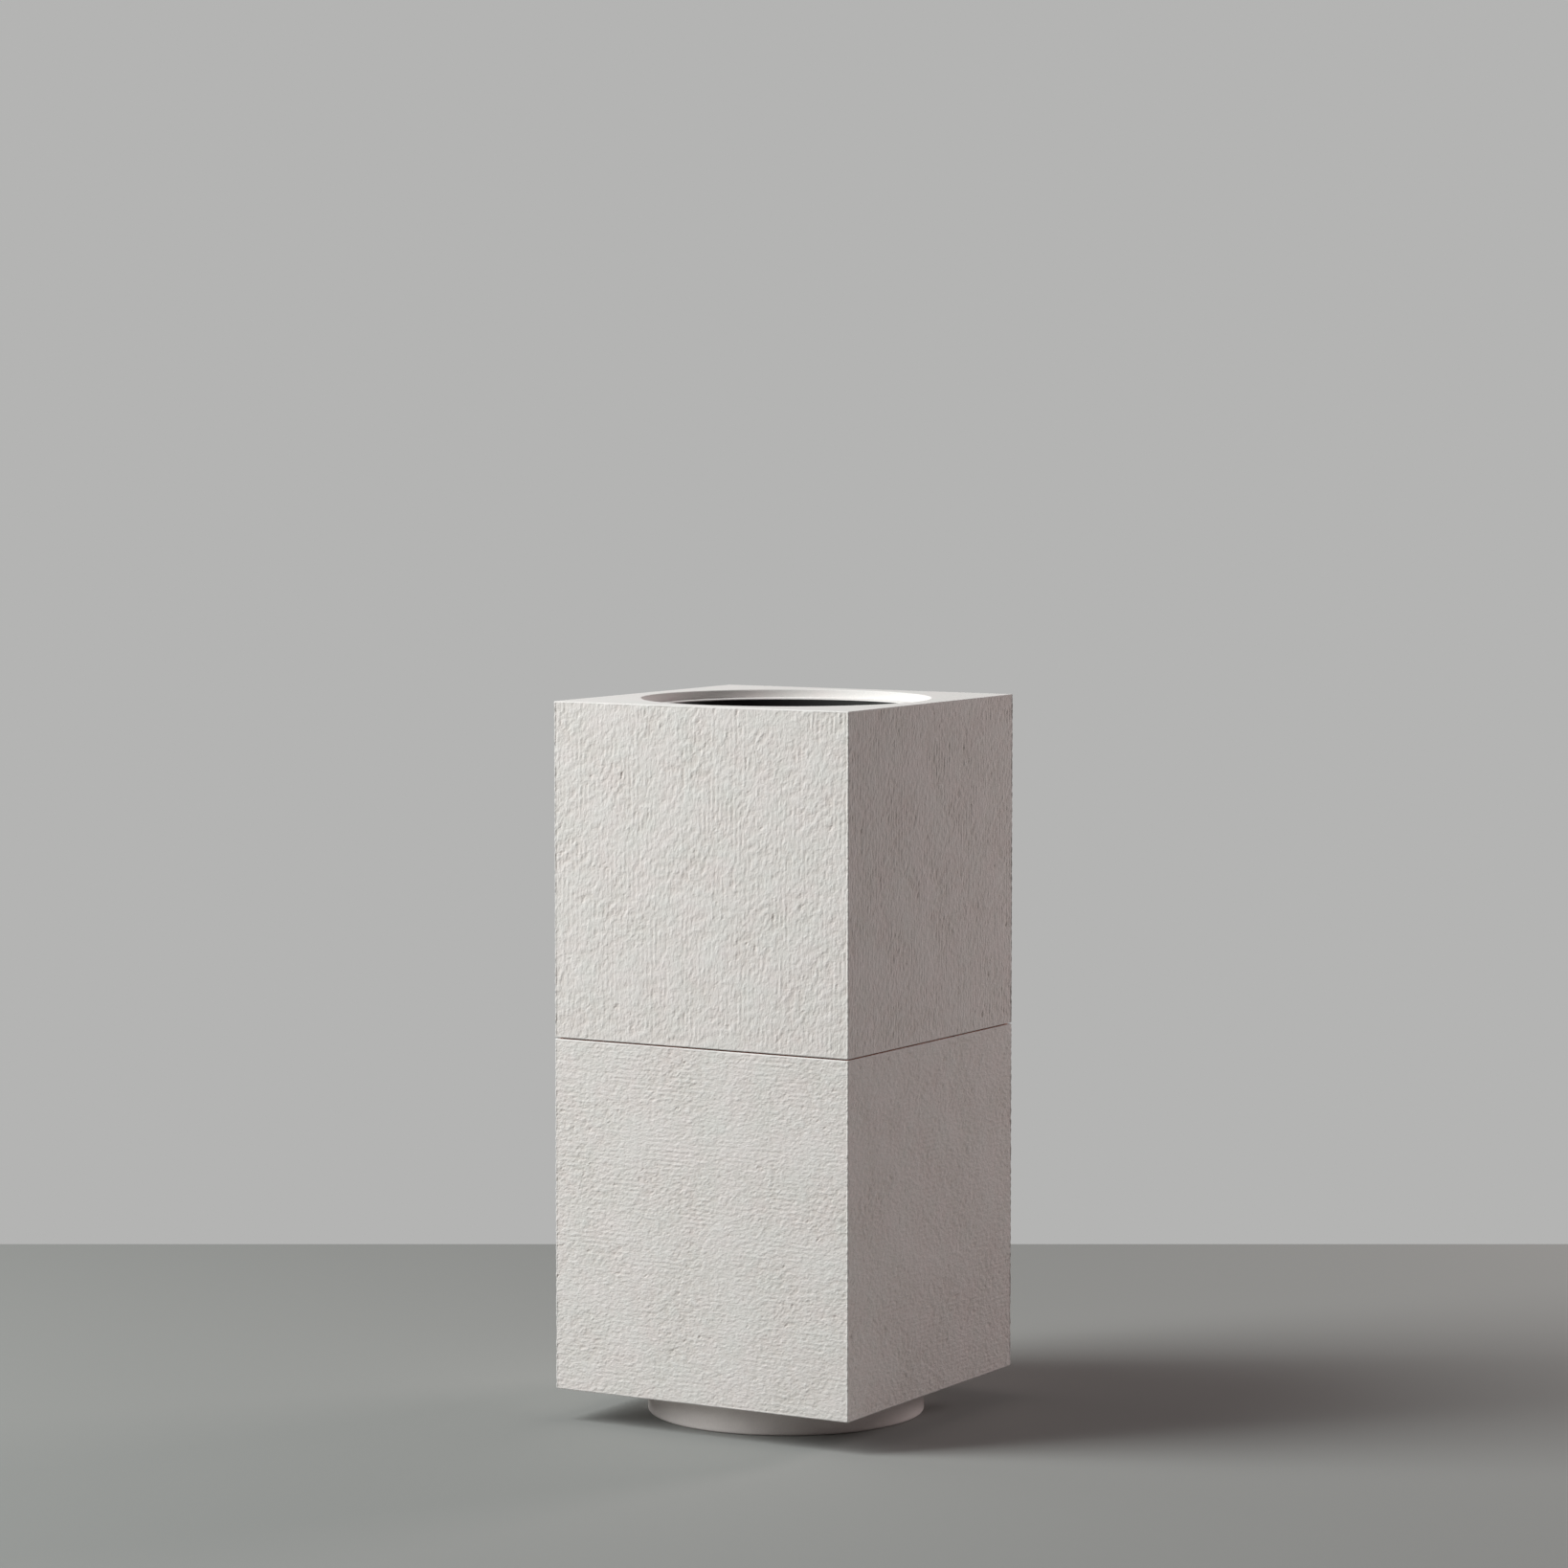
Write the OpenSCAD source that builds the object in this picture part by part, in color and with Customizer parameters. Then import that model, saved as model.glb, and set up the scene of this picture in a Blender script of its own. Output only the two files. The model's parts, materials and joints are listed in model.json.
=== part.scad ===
// Square column block planter: two tooled stone blocks stacked on a round, set-back foot.
// The upper block is bored out from above: a shallow round recess, a ledge and a deep well.
// Millimetres, +Z up. The origin is the centre of the foot's underside.

/* [Blocks] */
// Width of both square blocks, from face to face
block_w = 400; // [320:5:520]
// Height of the lower block, up to the open joint
lower_h = 419; // [200:1:600]
// Height of the upper block, above the open joint
upper_h = 398.6; // [200:0.2:600]
// Width of the flat that takes the sharpness off every outer edge
arris = 1.2; // [0.4:0.2:4]

/* [Round foot] */
// How far the foot is set back from the middle of each block face
foot_set_back = 34; // [10:1:80]
// Height of the foot
foot_h = 38; // [15:1:120]
// Radius of the foot's rounded bottom edge
foot_edge_r = 3; // [1:0.5:8]

/* [Joint between the blocks] */
// Height of the open joint, seen as a dark line
joint_h = 1.6; // [0.6:0.2:6]
// How far the joint runs in from the faces before it meets the seat
joint_depth = 9; // [5:1:40]

/* [Opening in the top] */
// Width of the top rim at the middle of each side
rim_w = 28; // [15:1:60]
// Depth of the shallow recess below the rim
recess_depth = 10; // [4:0.5:30]
// Width of the ledge between the recess wall and the well
ledge_w = 14; // [8:1:60]
// Thickness of stone left under the well
well_floor_t = 40; // [15:1:120]
// Radius that rounds the recess's lip and the mouth of the well
lip_r = 1.5; // [0.5:0.25:3]

/* [Hidden] */
$fn = 128;

// How far a cutter passes a face, so that it cuts clean through
past = 1;

foot_r = block_w / 2 - foot_set_back;
recess_r = block_w / 2 - rim_w;
well_r = recess_r - ledge_w;

lower_z = foot_h;
seat_w = block_w - 2 * joint_depth;
upper_z = lower_z + lower_h + joint_h;
rim_z = upper_z + upper_h;
ledge_z = rim_z - recess_depth;
well_floor_z = upper_z + well_floor_t;

foot_colour = [0.80, 0.77, 0.75];
lower_colour = [0.86, 0.85, 0.83];
upper_colour = [0.88, 0.87, 0.85];

// A w by h rectangle about the origin, each corner cut off by a flat
module eased_rectangle(w, h, cut) {
    polygon([
        [w / 2 - cut, -h / 2], [w / 2, cut - h / 2],
        [w / 2, h / 2 - cut], [w / 2 - cut, h / 2],
        [cut - w / 2, h / 2], [-w / 2, h / 2 - cut],
        [-w / 2, cut - h / 2], [cut - w / 2, -h / 2]
    ]);
}

// A square block standing on z = 0, with all twelve of its edges eased
module eased_block(w, h, cut) {
    translate([0, 0, h / 2])
        intersection() {
            linear_extrude(h, center = true) eased_rectangle(w, w, cut);
            rotate([90, 0, 0]) linear_extrude(w, center = true) eased_rectangle(w, h, cut);
            rotate([90, 0, 90]) linear_extrude(w, center = true) eased_rectangle(w, h, cut);
        }
}

// Cutter for a round hole of radius r, from z = low up through z = top, with a rounded mouth at z = top
module hole_with_lip(r, low, top) {
    translate([0, 0, low])
        cylinder(r = r, h = top - low + past);
    translate([0, 0, top])
        rotate_extrude()
            difference() {
                translate([r - past, -lip_r]) square([lip_r + past, lip_r + past]);
                translate([r + lip_r, -lip_r]) circle(lip_r);
            }
}

// Plain turned disc with a rounded bottom edge, which carries the blocks
module round_foot() {
    color(foot_colour)
        rotate_extrude() {
            square([foot_r - foot_edge_r, foot_h]);
            translate([0, foot_edge_r]) square([foot_r, foot_h - foot_edge_r]);
            translate([foot_r - foot_edge_r, foot_edge_r]) circle(foot_edge_r);
        }
}

// Solid block with a low square seat on top, inside the open joint
module lower_block() {
    color(lower_colour)
        translate([0, 0, lower_z]) {
            eased_block(block_w, lower_h, arris);
            translate([-seat_w / 2, -seat_w / 2, lower_h - past])
                cube([seat_w, seat_w, joint_h + past]);
        }
}

// Block bored out from above: recess, ledge and well
module upper_block() {
    color(upper_colour)
        difference() {
            translate([0, 0, upper_z]) eased_block(block_w, upper_h, arris);
            hole_with_lip(recess_r, ledge_z, rim_z);
            hole_with_lip(well_r, well_floor_z, ledge_z);
        }
}

round_foot();
lower_block();
upper_block();
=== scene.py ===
"""Square column block planter: two tooled stone blocks, bedded dry on a round, set-back foot."""
import json
import math

import bpy
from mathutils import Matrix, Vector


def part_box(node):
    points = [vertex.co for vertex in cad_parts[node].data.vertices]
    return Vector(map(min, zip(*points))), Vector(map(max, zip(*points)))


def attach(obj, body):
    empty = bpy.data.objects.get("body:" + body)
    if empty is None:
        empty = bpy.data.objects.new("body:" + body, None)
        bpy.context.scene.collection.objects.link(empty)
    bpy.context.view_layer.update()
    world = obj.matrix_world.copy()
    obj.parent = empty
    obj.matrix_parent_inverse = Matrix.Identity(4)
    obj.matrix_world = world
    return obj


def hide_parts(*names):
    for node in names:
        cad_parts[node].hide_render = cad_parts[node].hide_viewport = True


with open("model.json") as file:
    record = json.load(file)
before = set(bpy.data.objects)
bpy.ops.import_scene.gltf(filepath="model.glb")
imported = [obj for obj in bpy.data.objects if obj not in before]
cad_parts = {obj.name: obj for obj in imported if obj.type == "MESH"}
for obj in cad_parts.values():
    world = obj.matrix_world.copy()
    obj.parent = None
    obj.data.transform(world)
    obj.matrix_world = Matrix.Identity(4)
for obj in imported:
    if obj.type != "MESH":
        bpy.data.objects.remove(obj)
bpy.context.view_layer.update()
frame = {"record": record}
scene = bpy.context.scene
scene.view_settings.view_transform = "Standard"


# ---- Round foot ----
# A plain disc turned from the same pale stone and rubbed smooth. It carries the blocks
# and is set back under them, so that they seem to float on a dark shadow line.

MM = 0.001


def linear(hex_colour):
    """An sRGB hex colour such as "D9D5CF" as linear red, green, blue and alpha."""
    parts = [int(hex_colour[i:i + 2], 16) / 255 for i in (0, 2, 4)]
    return [p / 12.92 if p <= 0.04045 else ((p + 0.055) / 1.055) ** 2.4 for p in parts] + [1]


def add(tree, kind, inputs=None, **settings):
    """Adds a node. Its inputs are values or sockets to link, by the input's name or number.

    A Mix node takes its two numbers at 2 and 3, and its two colours at 6 and 7.
    """
    node = tree.nodes.new(kind)
    for name, value in settings.items():
        setattr(node, name, value)
    for name, value in (inputs or {}).items():
        if isinstance(value, bpy.types.NodeSocket):
            tree.links.new(value, node.inputs[name])
        else:
            node.inputs[name].default_value = value
    return node


def stone(name, pale, shade, pebble=None, painted_hollow_shade="FFFFFF"):
    """Fine-grained pale limestone, rubbed or tooled but never polished.

    It gives a dry, matte off-white with faint clouds of colour, a sandy grain and a few pinholes. The
    real grain is under a millimetre, and it is drawn coarser so that it shows. Tooled sides also get
    the crumbly grain between the tool marks, with pebble as its width along X, Y and Z, and painted
    shade in the hollows of the marks, darker the deeper the hollow.
    """
    cloud_width, grain_width, pinhole_gap = 35 * MM, 1.5 * MM, 16 * MM
    grain_depth, pebble_depth = 0.25 * MM, 1.0 * MM
    material = bpy.data.materials.new(name)
    material.use_nodes = True
    tree = material.node_tree
    tree.nodes.clear()
    place = add(tree, "ShaderNodeTexCoord").outputs["Object"]

    clouds = add(tree, "ShaderNodeTexNoise",
                 {"Vector": place, "Scale": 1 / cloud_width, "Detail": 4.0, "Roughness": 0.6})
    cloud_share = add(tree, "ShaderNodeMapRange",
                      {"Value": clouds.outputs["Fac"], "From Min": 0.32, "From Max": 0.68})
    colour = add(tree, "ShaderNodeMix",
                 {"Factor": cloud_share.outputs[0], 6: linear(shade), 7: linear(pale)}, data_type="RGBA")
    grain = add(tree, "ShaderNodeTexNoise", {"Vector": place, "Scale": 1 / grain_width, "Detail": 3.0})
    grain_tone = add(tree, "ShaderNodeMapRange",
                     {"Value": grain.outputs["Fac"], "From Min": 0.3, "From Max": 0.7,
                      "To Min": 0.95, "To Max": 1.02})
    colour = add(tree, "ShaderNodeVectorMath",
                 {0: colour.outputs[2], "Scale": grain_tone.outputs[0]}, operation="SCALE")
    # Painted shade in the hollows of the tool marks: the deeper a point lies, the darker it is painted
    hollow = add(tree, "ShaderNodeAttribute", attribute_name="hollow")
    colour = add(tree, "ShaderNodeMix",
                 {"Factor": hollow.outputs["Fac"], 6: colour.outputs[0], 7: linear(painted_hollow_shade)},
                 data_type="RGBA", blend_type="MULTIPLY")

    pinholes = add(tree, "ShaderNodeTexVoronoi", {"Vector": place, "Scale": 1 / pinhole_gap})
    pinhole = add(tree, "ShaderNodeMapRange",
                  {"Value": pinholes.outputs["Distance"], "From Min": 0.03, "From Max": 0.07})
    height = add(tree, "ShaderNodeMath",
                 {0: grain.outputs["Fac"], 1: pinhole.outputs[0]}, operation="ADD")
    bump = add(tree, "ShaderNodeBump",
               {"Height": height.outputs[0], "Strength": 0.5, "Distance": grain_depth})
    if pebble:
        stretched = add(tree, "ShaderNodeMapping",
                        {"Vector": place, "Scale": [1 / width for width in pebble]})
        pebbles = add(tree, "ShaderNodeTexNoise",
                      {"Vector": stretched.outputs[0], "Scale": 1.0, "Detail": 2.0, "Roughness": 0.6})
        tooled_part = add(tree, "ShaderNodeAttribute", attribute_name="cut")
        crumb = add(tree, "ShaderNodeMath",
                    {0: pebbles.outputs["Fac"], 1: tooled_part.outputs["Fac"]}, operation="MULTIPLY")
        bump = add(tree, "ShaderNodeBump",
                   {"Height": crumb.outputs[0], "Strength": 1.0, "Distance": pebble_depth,
                    "Normal": bump.outputs[0]})

    dryness = add(tree, "ShaderNodeMapRange",
                  {"Value": grain.outputs["Fac"], "From Min": 0.3, "From Max": 0.7,
                   "To Min": 0.8, "To Max": 0.95})
    shader = add(tree, "ShaderNodeBsdfPrincipled",
                 {"Base Color": colour.outputs[2], "Roughness": dryness.outputs[0],
                  "Normal": bump.outputs[0], "IOR": 1.5, "Specular IOR Level": 0.35})
    add(tree, "ShaderNodeOutputMaterial", {"Surface": shader.outputs[0]})
    return material


def loft(name, rings):
    """A closed skin through rings of equally many points, with a flat face on each end."""
    count = len(rings[0])
    faces = [list(range(count))[::-1]]
    for start in range(0, count * (len(rings) - 1), count):
        for i in range(count):
            j = (i + 1) % count
            faces.append([start + i, start + j, start + count + j, start + count + i])
    faces.append(list(range(count * (len(rings) - 1), count * len(rings))))
    mesh = bpy.data.meshes.new(name)
    mesh.from_pydata([point for ring in rings for point in ring], [], faces)
    mesh.shade_smooth()
    piece = bpy.data.objects.new(name, mesh)
    scene.collection.objects.link(piece)
    return piece


def quarter_round(start, end, steps, leaves_level):
    """Radius and height along a quarter-round edge, without its first point.

    It sets out level if leaves_level is true, and upright if not.
    """
    turns = [math.pi / 2 * k / steps for k in range(1, steps + 1)]
    shares = [(math.sin(a), 1 - math.cos(a)) for a in turns]
    if not leaves_level:
        shares = [(z, r) for r, z in shares]
    return [(start[0] + (end[0] - start[0]) * r, start[1] + (end[1] - start[1]) * z) for r, z in shares]


foot_low, foot_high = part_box("round_foot")
foot_r, foot_edge_r, foot_sides = foot_high.x, 3 * MM, 240
# A narrow strip on each side of the top edge keeps it crisp
edge_strip = 1 * MM
foot_turns = [2 * math.pi * i / foot_sides for i in range(foot_sides)]
foot_profile = [(foot_r - 2 * foot_edge_r, foot_low.z), (foot_r - foot_edge_r, foot_low.z)]
foot_profile += quarter_round(foot_profile[-1], (foot_r, foot_low.z + foot_edge_r), 4, True)
foot_profile += [(foot_r, foot_low.z + 2 * foot_edge_r), (foot_r, foot_high.z - edge_strip),
                 (foot_r, foot_high.z), (foot_r - edge_strip, foot_high.z)]
foot_rings = [[(r * math.cos(a), r * math.sin(a), z) for a in foot_turns] for r, z in foot_profile]
foot = loft("foot_disc", foot_rings)
foot.data.materials.append(stone("rubbed limestone", "EEE6E2", "E8DFDC"))
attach(foot, "root")
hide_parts("round_foot")


# ---- Lower block ----
# A solid square block of the same stone. Its four sides are tooled in level rows: the mason
# works along the row with a narrow chisel, and each blow leaves a short leaning bump.

def tooling():
    """The tree that cuts rows of tool marks into a block's sides, down from its true faces."""
    tree = bpy.data.node_groups.new("tooled rows", "GeometryNodeTree")
    tree.interface.new_socket("Block", in_out="INPUT", socket_type="NodeSocketGeometry")
    for name in ("Row pitch", "Mark length", "Cut depth", "Lean", "Wander", "Patch width", "Row share",
                 "Nick length", "Nick depth", "Seed"):
        tree.interface.new_socket(name, in_out="INPUT", socket_type="NodeSocketFloat")
    for name in ("Stone", "Coat"):
        tree.interface.new_socket(name, in_out="INPUT", socket_type="NodeSocketMaterial")
    tree.interface.new_socket("Block", in_out="OUTPUT", socket_type="NodeSocketGeometry")
    given = add(tree, "NodeGroupInput").outputs

    def node(kind, inputs=None, **settings):
        """Adds a node to this tree and gives its first output."""
        return add(tree, kind, inputs, **settings).outputs[0]

    def noise(x, y, squeeze, seed_step, low, high, to_low=0.0, to_high=1.0):
        """Smooth noise over x and y, each squeezed first, stretched from low..high to to_low..to_high."""
        seed = node("ShaderNodeMath", {0: given["Seed"], 1: seed_step}, operation="ADD")
        spot = node("ShaderNodeCombineXYZ", {0: x, 1: y, 2: seed})
        squeezed = node("ShaderNodeVectorMath", {0: spot, 1: (*squeeze, 1.0)}, operation="MULTIPLY")
        value = node("ShaderNodeTexNoise", {"Vector": squeezed, "Scale": 1.0, "Detail": 1.0})
        return node("ShaderNodeMapRange", {"Value": value, "From Min": low, "From Max": high,
                                           "To Min": to_low, "To Max": to_high})

    kinds = {"across": "FLOAT", "along": "FLOAT", "cut": "FLOAT", "on_arris": "FLOAT",
             "outward": "FLOAT_VECTOR", "sideways": "FLOAT_VECTOR", "tooled": "BOOLEAN", "coated": "BOOLEAN"}
    skin = {name: node("GeometryNodeInputNamedAttribute", {"Name": name}, data_type=kind)
            for name, kind in kinds.items()}
    across, along, cut = skin["across"], skin["along"], skin["cut"]
    row = node("ShaderNodeMath", {0: across, 1: given["Row pitch"]}, operation="DIVIDE")
    leaning = node("ShaderNodeMath", {0: across, 1: given["Lean"]}, operation="MULTIPLY")
    leaned = node("ShaderNodeMath", {0: along, 1: leaning}, operation="SUBTRACT")
    mark = node("ShaderNodeMath", {0: leaned, 1: given["Mark length"]}, operation="DIVIDE")
    other_leaned = node("ShaderNodeMath", {0: along, 1: leaning}, operation="ADD")
    other_mark = node("ShaderNodeMath", {0: other_leaned, 1: given["Mark length"]}, operation="DIVIDE")
    patch_x = node("ShaderNodeMath", {0: across, 1: given["Patch width"]}, operation="DIVIDE")
    patch_y = node("ShaderNodeMath", {0: along, 1: given["Patch width"]}, operation="DIVIDE")

    # Patches where the chisel bit deeper, and patches where the marks run on as straight grooves
    strength = noise(patch_x, patch_y, (1.0, 1.0), 0.0, 0.3, 0.7, 0.6, 1.3)
    groove = noise(patch_y, patch_x, (1.0, 2.0), 31.0, 0.5, 0.7)
    # Broad, shallow unevenness of the face, left from before the tooling
    swell = noise(patch_x, patch_y, (1.9, 1.9), 83.0, 0.3, 0.7, 0.0, 0.18)
    # 1 on a row's crest and 0 in the hollow between two rows
    turn_of_row = node("ShaderNodeMath", {0: row, 1: 2 * math.pi}, operation="MULTIPLY")
    wave = node("ShaderNodeMath", {0: turn_of_row}, operation="COSINE")
    crest = node("ShaderNodeMath", {0: wave, 1: 0.5, 2: 0.5}, operation="MULTIPLY_ADD")
    groove_share, crumb_share = 0.3, 0.45
    crest_share = node("ShaderNodeMix", {"Factor": groove, 2: given["Row share"], 3: groove_share})
    # Every mark is a short bump on its row, with crumbs of stone that lean the other way between them
    bump = noise(row, mark, (0.8, 1.0), 7.0, 0.3, 0.7)
    crumb = noise(row, other_mark, (1.4, 1.7), 19.0, 0.25, 0.75)
    rough = node("ShaderNodeMix", {"Factor": crumb_share, 2: bump, 3: crumb})
    height = node("ShaderNodeMix", {"Factor": crest_share, 2: rough, 3: crest})
    # Here and there a blow went deep
    deep = noise(row, mark, (0.8, 0.7), 57.0, 0.68, 0.8, 0.0, 0.8)
    hollow = node("ShaderNodeMath", {0: 1.0, 1: height}, operation="SUBTRACT")
    hollow = node("ShaderNodeMath", {0: hollow, 1: deep}, operation="ADD")
    hollow = node("ShaderNodeMath", {0: hollow, 1: strength}, operation="MULTIPLY")
    hollow = node("ShaderNodeMath", {0: hollow, 1: swell}, operation="ADD")
    hollow = node("ShaderNodeMath", {0: hollow, 1: cut}, operation="MULTIPLY")

    # The arris is not cut but loses small nicks where a mark runs out over it. This distance round the
    # block is long enough to give each arris of the upper block nicks of its own
    corner_spread = 200 * MM
    height_up = add(tree, "ShaderNodeSeparateXYZ", {0: node("GeometryNodeInputPosition")}).outputs["Z"]
    nick_up = node("ShaderNodeMath", {0: height_up, 1: given["Nick length"]}, operation="DIVIDE")
    nick_round = node("ShaderNodeMath", {0: across, 1: corner_spread}, operation="DIVIDE")
    nick = noise(nick_up, nick_round, (1.0, 1.0), 71.0, 0.42, 0.62)
    nick = node("ShaderNodeMath", {0: nick, 1: cut}, operation="MULTIPLY")
    nick_share = node("ShaderNodeMath", {0: given["Nick depth"], 1: given["Cut depth"]}, operation="DIVIDE")
    nick = node("ShaderNodeMath", {0: nick, 1: nick_share}, operation="MULTIPLY")
    hollow = node("ShaderNodeMix", {"Factor": skin["on_arris"], 2: hollow, 3: nick})

    # The rows stray a little to each side of their line
    stray = noise(row, mark, (0.35, 0.45), 43.0, 0.25, 0.75, -1.0, 1.0)
    stray = node("ShaderNodeMath", {0: stray, 1: given["Wander"]}, operation="MULTIPLY")
    stray = node("ShaderNodeMath", {0: stray, 1: cut}, operation="MULTIPLY")
    depth = node("ShaderNodeMath", {0: hollow, 1: given["Cut depth"]}, operation="MULTIPLY")
    depth = node("ShaderNodeMath", {0: depth, 1: -1.0}, operation="MULTIPLY")
    inward = node("ShaderNodeVectorMath", {0: skin["outward"], "Scale": depth}, operation="SCALE")
    aside = node("ShaderNodeVectorMath", {0: skin["sideways"], "Scale": stray}, operation="SCALE")
    move = node("ShaderNodeVectorMath", {0: inward, 1: aside}, operation="ADD")
    block = node("GeometryNodeSetPosition", {"Geometry": given["Block"], "Offset": move})
    # Tool marks are left as crisp little facets
    block = node("GeometryNodeSetShadeSmooth",
                 {"Geometry": block, "Shade Smooth": False, "Selection": skin["tooled"]})
    # How deep each point lies in the hollows of the marks, which the stone paints as shade
    block = node("GeometryNodeStoreNamedAttribute",
                 {"Geometry": block, "Name": "hollow", "Value": hollow}, data_type="FLOAT")
    block = node("GeometryNodeRealizeInstances", {"Geometry": block})
    block = node("GeometryNodeSetMaterial", {"Geometry": block, "Material": given["Stone"]})
    # The marked bands get the second material, which paints shade: near-black in the well, brown in the
    # joint
    block = node("GeometryNodeSetMaterial",
                 {"Geometry": block, "Material": given["Coat"], "Selection": skin["coated"]})
    add(tree, "NodeGroupOutput", {0: block})
    return tree


arris = 1.2 * MM
# The tool bites half as deep in the last row at each end of a side
end_cut = 0.5


def square_ring(half, columns):
    """Points once round a square of that half width, with rounded corners.

    Each is (x, y, run, outward, sideways): run is the distance round the faces, outward the way out
    of the stone, and sideways the level way along the face.
    """
    points = []
    faces = [((0, -1), (1, 0)), ((1, 0), (0, 1)), ((0, 1), (-1, 0)), ((-1, 0), (0, -1))]
    corner = half - arris * (1 - math.sqrt(0.5))
    side = 2 * half
    for turn, (out, way) in enumerate(faces):
        # The three points of a rounded corner share one run, so that two faces meet on the same mark,
        # and they move together, so that the marks nick the arris
        before, after = faces[turn - 1][0], faces[(turn + 1) % 4][0]
        stops = [(arris - half, side * turn, (out[0] + before[0], out[1] + before[1], 0), (0, 0, 0))]
        for k in range(1, columns):
            t = side * k / columns - half
            stops.append((t, side * turn + half + t, (*out, 0), (*way, 0)))
        outward = (out[0] + after[0], out[1] + after[1], 0)
        stops.append((half - arris, side * (turn + 1), outward, (0, 0, 0)))
        points += [(out[0] * half + way[0] * t, out[1] * half + way[1] * t, *rest) for t, *rest in stops]
        points.append((outward[0] * corner, outward[1] * corner, side * (turn + 1), outward, (0, 0, 0)))
    return points


def block_skin(name, half, low_z, high_z, columns, rows, level, below, above):
    """A square block whose sides are ready for the tool, in level rows or upright ones.

    below and above are its two ends, from the first ring of the skin and to the last. Each ring is
    (shape, reach, z), where the shape is "square" or "round", with "coated" before it where the band from
    that ring to the next is coloured with painted shade.
    """
    base = square_ring(half, columns)
    turns = [math.atan2(point[1], point[0]) for point in base]
    row_z = [low_z + (high_z - low_z) * k / rows for k in range(1, rows)]
    side_z = [low_z + arris, *row_z, high_z - arris]
    foot_edge = quarter_round((half - arris, low_z), (half, low_z + arris), 3, True)[:-1]
    head_edge = quarter_round((half, high_z - arris), (half - arris, high_z), 3, False)
    stations = [*below, ("square", half - arris, low_z), *[("square", r, z) for r, z in foot_edge]]
    first_side = len(stations)
    stations += [("square", half, z) for z in side_z]
    stations += [("square", r, z) for r, z in head_edge] + [*above]
    last_side = first_side + len(side_z) - 1
    rings = [[(x * reach / half, y * reach / half, z) for x, y, *_ in base] if shape.endswith("square") else
             [(reach * math.cos(a), reach * math.sin(a), z) for a in turns] for shape, reach, z in stations]
    piece = loft(name, rings)

    def keep(label, kind, domain, values):
        layer = piece.data.attributes.new(label, kind, domain)
        layer.data.foreach_set("vector" if kind == "FLOAT_VECTOR" else "value", values)

    runs = [point[2] for point in base] * len(stations)
    # The first and last side rows count as on the block's edge, where a level row has its crest
    counted_z = [low_z if k <= first_side else high_z if k >= last_side else station[2]
                 for k, station in enumerate(stations)]
    climbs = [z - low_z for z in counted_z for _ in base]
    side_cut = [end_cut if k in (first_side, last_side) else float(first_side < k < last_side)
                for k in range(len(stations))]
    keep("across", "FLOAT", "POINT", climbs if level else runs)
    keep("along", "FLOAT", "POINT", runs if level else climbs)
    keep("cut", "FLOAT", "POINT", [share for share in side_cut for _ in base])
    keep("on_arris", "FLOAT", "POINT", [float(point[4] == (0, 0, 0)) for point in base] * len(stations))
    keep("outward", "FLOAT_VECTOR", "POINT", [c for point in base for c in point[3]] * len(stations))
    sideways = [0.0, 0.0, 1.0] * len(base) if level else [c for point in base for c in point[4]]
    keep("sideways", "FLOAT_VECTOR", "POINT", sideways * len(stations))
    painted_bands = [shape.startswith("coated") for shape, _, _ in stations]
    keep("coated", "BOOLEAN", "FACE", [False, *[coat for coat in painted_bands[:-1] for _ in base], painted_bands[-1]])
    sides = [first_side <= k < last_side for k in range(len(stations) - 1)]
    keep("tooled", "BOOLEAN", "FACE", [False, *[side for side in sides for _ in base], False])
    return piece


def dress(piece, tree, **sizes):
    """Runs a tree on a piece and keeps the result as the piece's plain mesh."""
    modifier = piece.modifiers.new(tree.name, "NODES")
    modifier.node_group = tree
    for item in tree.interface.items_tree:
        key = item.name.lower().replace(" ", "_")
        if item.in_out == "INPUT" and key in sizes:
            modifier[item.identifier] = sizes[key]
    evaluated = piece.evaluated_get(bpy.context.evaluated_depsgraph_get())
    finished = bpy.data.meshes.new_from_object(evaluated)
    piece.modifiers.remove(modifier)
    piece.data = finished


joint_h, joint_depth = 1.6 * MM, 9 * MM
level_rows, level_columns = 76, 140
# The flat stone of a bed or rim starts this far in from the face
flat_start = 3 * arris
tooled = tooling()
level_stone = stone("level tooled limestone", "EBE4E2", "E7E4E1", (5.5 * MM, 5.5 * MM, 3.2 * MM), "F2EEEB")

low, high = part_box("lower_block")
half, shoulder_z = high.x, high.z - joint_h
lower_bed = [("square", half - flat_start, low.z)]
# The shoulder of the seat, inside the open joint, carries the painted joint shade
lower_seat = [("coated square", half - 2 * arris, shoulder_z),
              ("coated square", half - joint_depth, shoulder_z), ("square", half - joint_depth, high.z)]
lower = block_skin("lower_block_stone", half, low.z, shoulder_z, level_columns, 2 * level_rows, True,
                   lower_bed, lower_seat)
# The stone inside the open joint is painted a darker pinkish brown as painted warm shade; with the real
# shade of the gap it makes the joint a thin brownish line
joint_painted_shade = stone("dusty limestone", "DCA897", "CA9886")
dress(lower, tooled, row_pitch=(shoulder_z - low.z) / level_rows, mark_length=9 * MM,
      cut_depth=0.95 * MM, lean=-0.6, wander=0.8 * MM, patch_width=70 * MM, row_share=0.06,
      nick_length=5.5 * MM, nick_depth=0.5 * MM, seed=3.0, stone=level_stone, coat=joint_painted_shade)
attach(lower, "root")
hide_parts("lower_block")


# ---- Upper block ----
# The block that makes the planter. Its sides are tooled in upright rows, and it is bored out from
# above: a rubbed rim, a shallow recess, a ledge, and a well painted near-black as painted shade.

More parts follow.
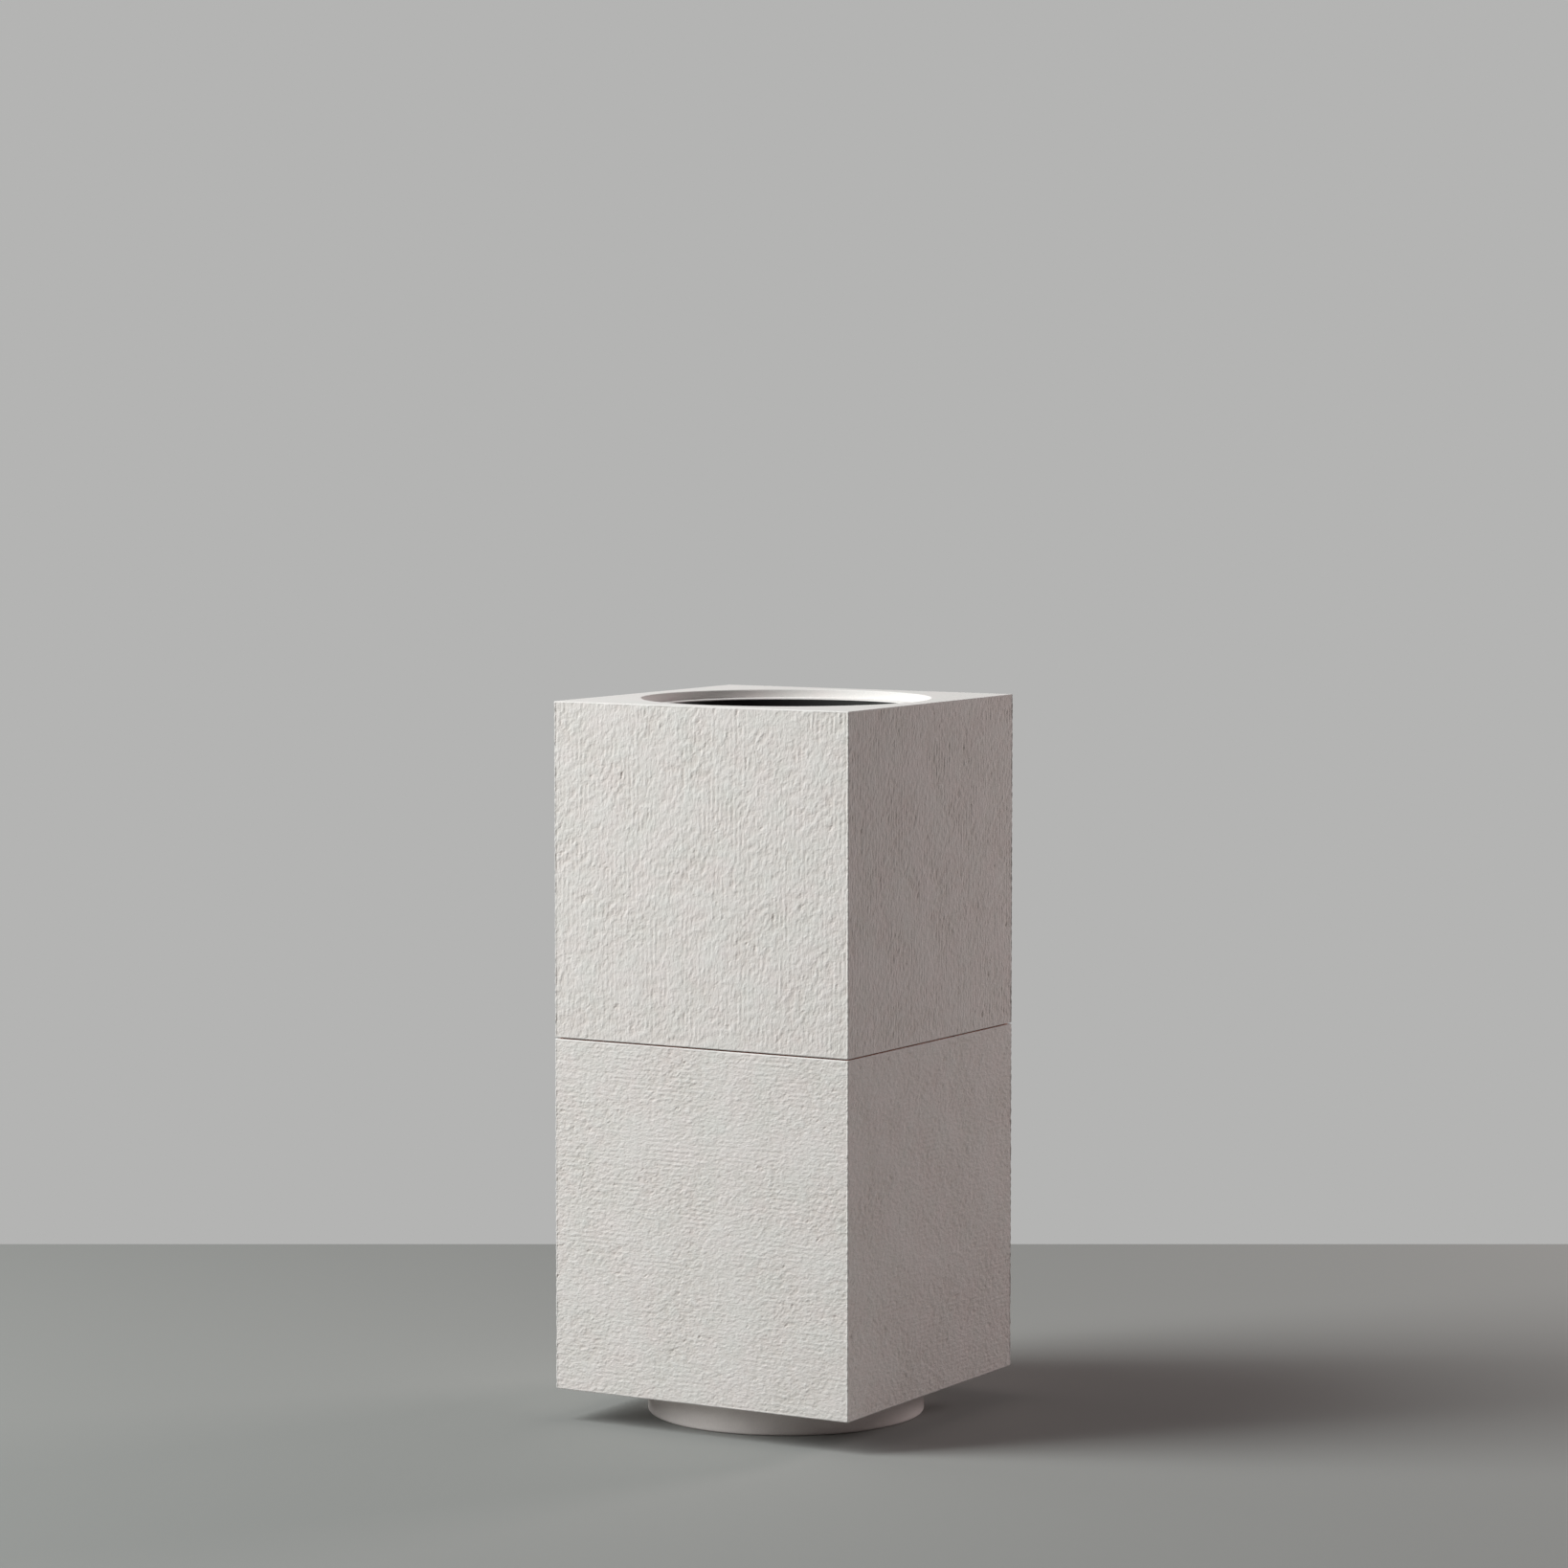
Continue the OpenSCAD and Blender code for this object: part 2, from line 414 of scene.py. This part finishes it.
def painted_well_shade():
    """Painted shade for the deep well: a dull near-black with faint streaks."""
    material = bpy.data.materials.new("bituminous sealer")
    material.use_nodes = True
    tree = material.node_tree
    tree.nodes.clear()
    streak_width, streak_length, streak_depth = 4 * MM, 90 * MM, 0.3 * MM
    place = add(tree, "ShaderNodeTexCoord").outputs["Object"]
    drawn = add(tree, "ShaderNodeMapping",
                {"Vector": place, "Scale": (1 / streak_width, 1 / streak_width, 1 / streak_length)})
    streaks = add(tree, "ShaderNodeTexNoise", {"Vector": drawn.outputs[0], "Scale": 1.0, "Detail": 2.0})
    colour = add(tree, "ShaderNodeMix",
                 {"Factor": streaks.outputs["Fac"], 6: linear("0D0C0B"), 7: linear("1A1816")},
                 data_type="RGBA")
    dullness = add(tree, "ShaderNodeMapRange",
                   {"Value": streaks.outputs["Fac"], "To Min": 0.55, "To Max": 0.8})
    bump = add(tree, "ShaderNodeBump",
               {"Height": streaks.outputs["Fac"], "Strength": 0.4, "Distance": streak_depth})
    shader = add(tree, "ShaderNodeBsdfPrincipled",
                 {"Base Color": colour.outputs[2], "Roughness": dullness.outputs[0],
                  "Normal": bump.outputs[0]})
    add(tree, "ShaderNodeOutputMaterial", {"Surface": shader.outputs[0]})
    return material


upright_stone = stone("upright tooled limestone", "EBE4E2", "E7E4E1", (3.5 * MM, 3.5 * MM, 7 * MM),
                      "F2EEEB")
mounts = {mount["name"]: mount for mount in frame["record"]["mounts"]}
recess_r, well_r = (mounts[name]["dims"]["r_mm"] * MM for name in ("recess", "well"))
ledge_z = mounts["ledge"]["pos_m"][2]
lip_r, cove_r = 1.5 * MM, 1 * MM
well_floor_t, floor_cove_r = 40 * MM, 6 * MM
# The painted shade in the well starts just under the lip
paint_gap = 0.2 * MM
upright_rows, upright_heights = 66, 156

low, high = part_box("upper_block")
half, well_floor_z = high.x, low.z + well_floor_t
recess_profile = [(recess_r + 2 * lip_r, high.z), (recess_r + lip_r, high.z)]
recess_profile += quarter_round(recess_profile[-1], (recess_r, high.z - lip_r), 3, True)
recess_profile += [(recess_r, ledge_z + cove_r)]
recess_profile += quarter_round(recess_profile[-1], (recess_r - cove_r, ledge_z), 2, False)
recess_profile += [(well_r + 2 * lip_r, ledge_z), (well_r + lip_r, ledge_z)]
recess_profile += quarter_round(recess_profile[-1], (well_r, ledge_z - lip_r), 3, True)
well_profile = [(well_r, ledge_z - lip_r - paint_gap), (well_r, well_floor_z + floor_cove_r)]
well_profile += quarter_round(well_profile[-1], (well_r - floor_cove_r, well_floor_z), 3, False)
upper_bed = [("square", half - flat_start, low.z)]
bore = [("square", half - flat_start, high.z), *[("round", r, z) for r, z in recess_profile],
        *[("coated round", r, z) for r, z in well_profile]]
upper = block_skin("upper_block_stone", half, low.z, high.z, 2 * upright_rows, upright_heights, False,
                   upper_bed, bore)
dress(upper, tooled, row_pitch=2 * half / upright_rows, mark_length=11 * MM, cut_depth=1.1 * MM,
      lean=0.4, wander=1.0 * MM, patch_width=60 * MM, row_share=0.06, nick_length=6 * MM,
      nick_depth=0.5 * MM, seed=11.0, stone=upright_stone, coat=painted_well_shade())
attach(upper, "root")
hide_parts("upper_block")


# ---- Camera, floor and light ----
# A long lens at standing eye height, a pale matte floor, and one broad soft lamp high on the left. A
# weak warm lamp fills in from behind on the right, and a weaker one low on the right lights the foot.

turn, dip = math.radians(30.5), math.radians(4.38)
eye_out, eye_height, eye_aside = 5.924, 1.2076, -0.0026
camera = bpy.data.objects.new("camera", bpy.data.cameras.new("camera"))
camera.data.lens, camera.data.sensor_width = 114.3, 36
camera.location = (eye_out * math.sin(turn) + eye_aside * math.cos(turn),
                   -eye_out * math.cos(turn) + eye_aside * math.sin(turn), eye_height)
camera.rotation_euler = (math.pi / 2 - dip, 0, turn)
scene.collection.objects.link(camera)
scene.camera = camera

# The floor ends a little way behind the object, as at the foot of a wall
floor_back, floor_front, floor_side = 1.17, 14, 9
corners = [(-floor_side, -floor_front), (floor_side, -floor_front),
           (floor_side, floor_back), (-floor_side, floor_back)]
corners = [(x * math.cos(turn) - y * math.sin(turn), x * math.sin(turn) + y * math.cos(turn), 0)
           for x, y in corners]
floor_mesh = bpy.data.meshes.new("floor")
floor_mesh.from_pydata(corners, [], [(0, 1, 2, 3)])
floor = bpy.data.objects.new("floor", floor_mesh)
scene.collection.objects.link(floor)
# Rolled matte paint: it gives an even pale grey with no shine
paint = bpy.data.materials.new("pale floor paint")
paint.use_nodes = True
paint.node_tree.nodes.clear()
matte = add(paint.node_tree, "ShaderNodeBsdfPrincipled",
            {"Base Color": linear("8E8E8C"), "Roughness": 0.9})
add(paint.node_tree, "ShaderNodeOutputMaterial", {"Surface": matte.outputs[0]})
floor_mesh.materials.append(paint)


look_height = 0.45


def soft_lamp(name, aside, height, out, width, tall, power, colour):
    """A soft box that looks at the middle of the object, from out metres away.

    It stands aside degrees right of the camera and height degrees up.
    """
    lamp = bpy.data.objects.new(name, bpy.data.lights.new(name, "AREA"))
    lamp.data.shape, lamp.data.size, lamp.data.size_y = "RECTANGLE", width, tall
    lamp.data.energy, lamp.data.color = power, colour
    bearing, climb = turn + math.radians(aside), math.radians(height)
    lamp.location = (out * math.cos(climb) * math.sin(bearing), -out * math.cos(climb) * math.cos(bearing),
                     look_height + out * math.sin(climb))
    lamp.rotation_euler = (math.pi / 2 - climb, 0, bearing)
    scene.collection.objects.link(lamp)


soft_lamp("window", -80, 38, 6.0, 2.6, 6.8, 572, (0.955, 1.0, 0.99))
soft_lamp("fill", 124, 12, 4.0, 1.2, 0.8, 62, (1.0, 0.9, 0.89))
soft_lamp("low fill", 85, 4, 4.0, 1.2, 0.8, 5, (1.0, 0.9, 0.89))

# The camera sees a pale grey room, and only a weak even light from it falls on the object
room = bpy.data.worlds.new("studio")
scene.world = room
room.use_nodes = True
room.node_tree.nodes.clear()
seen = add(room.node_tree, "ShaderNodeBackground", {"Color": linear("B4B4B3"), "Strength": 1.0})
fill = add(room.node_tree, "ShaderNodeBackground", {"Color": linear("FFF3F3"), "Strength": 0.095})
path = add(room.node_tree, "ShaderNodeLightPath")
sky = add(room.node_tree, "ShaderNodeMixShader",
          {0: path.outputs["Is Camera Ray"], 1: fill.outputs[0], 2: seen.outputs[0]})
add(room.node_tree, "ShaderNodeOutputWorld", {"Surface": sky.outputs[0]})
